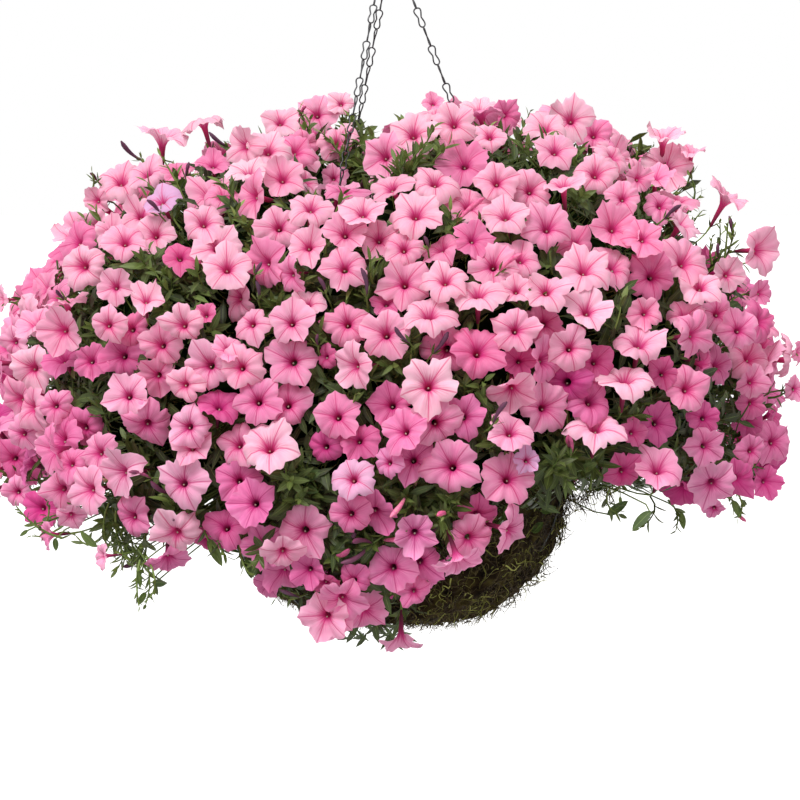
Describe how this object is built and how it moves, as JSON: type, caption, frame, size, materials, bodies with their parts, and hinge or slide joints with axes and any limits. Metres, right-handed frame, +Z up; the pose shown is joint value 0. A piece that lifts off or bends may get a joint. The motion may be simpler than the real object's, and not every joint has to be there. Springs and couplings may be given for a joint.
{
  "type": "petunia hanging basket",
  "caption": "Pink petunias that fill and trail over a round moss-lined wire basket, held up by chains that meet at a hook.",
  "frame": {"origin": "the point on the inside top of the hook that bears on its bracket", "axes": "+Z up, +X to the right of the front view, +Y away from the viewer"},
  "size_m": [0.8528, 0.8586, 0.7914],
  "materials": {
    "hanger_wire": "satin",
    "chain_wire": "satin",
    "basket_wire": "matte",
    "moss": "matte",
    "soil": "matte",
    "stem": "matte",
    "foliage": "matte",
    "petals": "matte",
    "throat": "matte",
    "buds": "matte"
  },
  "bodies": {
    "root": {"hanging_hook": "hanger_wire", "gather_ring": "hanger_wire", "chain_right": "chain_wire", "chain_rear": "chain_wire", "chain_front": "chain_wire", "rim_hook_right": "hanger_wire", "rim_hook_rear": "hanger_wire", "rim_hook_front": "hanger_wire", "rim_wire": "basket_wire", "upper_hoop": "basket_wire", "lower_hoop": "basket_wire", "base_ring": "basket_wire", "rib_01": "basket_wire", "rib_02": "basket_wire", "rib_03": "basket_wire", "rib_04": "basket_wire", "rib_05": "basket_wire", "rib_06": "basket_wire", "rib_07": "basket_wire", "rib_08": "basket_wire", "rib_09": "basket_wire", "moss_liner": "moss", "potting_soil": "soil", "back_plant_stem_foot": "stem", "back_plant_crown": "foliage", "back_plant_trail_1": "foliage", "back_plant_trail_2": "foliage", "back_plant_trail_3": "foliage", "back_plant_trail_4": "foliage", "left_plant_stem_foot": "stem", "left_plant_crown": "foliage", "left_plant_trail_1": "foliage", "left_plant_trail_2": "foliage", "left_plant_trail_3": "foliage", "left_plant_trail_4": "foliage", "front_plant_stem_foot": "stem", "front_plant_crown": "foliage", "front_plant_trail_1": "foliage", "front_plant_trail_2": "foliage", "front_plant_trail_3": "foliage", "front_plant_trail_4": "foliage", "bloom_right": "petals", "bloom_front_right": "petals", "bloom_front": "petals", "bloom_front_low": "petals", "bloom_front_left": "petals", "bloom_left": "petals", "bloom_back_left": "petals", "bloom_back": "petals", "bloom_back_right": "petals", "bloom_top_front": "petals", "bloom_top_left": "petals", "bloom_top_back": "petals", "leafy_shoot_left": "foliage", "leafy_shoot_front": "foliage", "leafy_shoot_back": "foliage", "leafy_shoot_top": "foliage"}
  },
  "joints": []
}
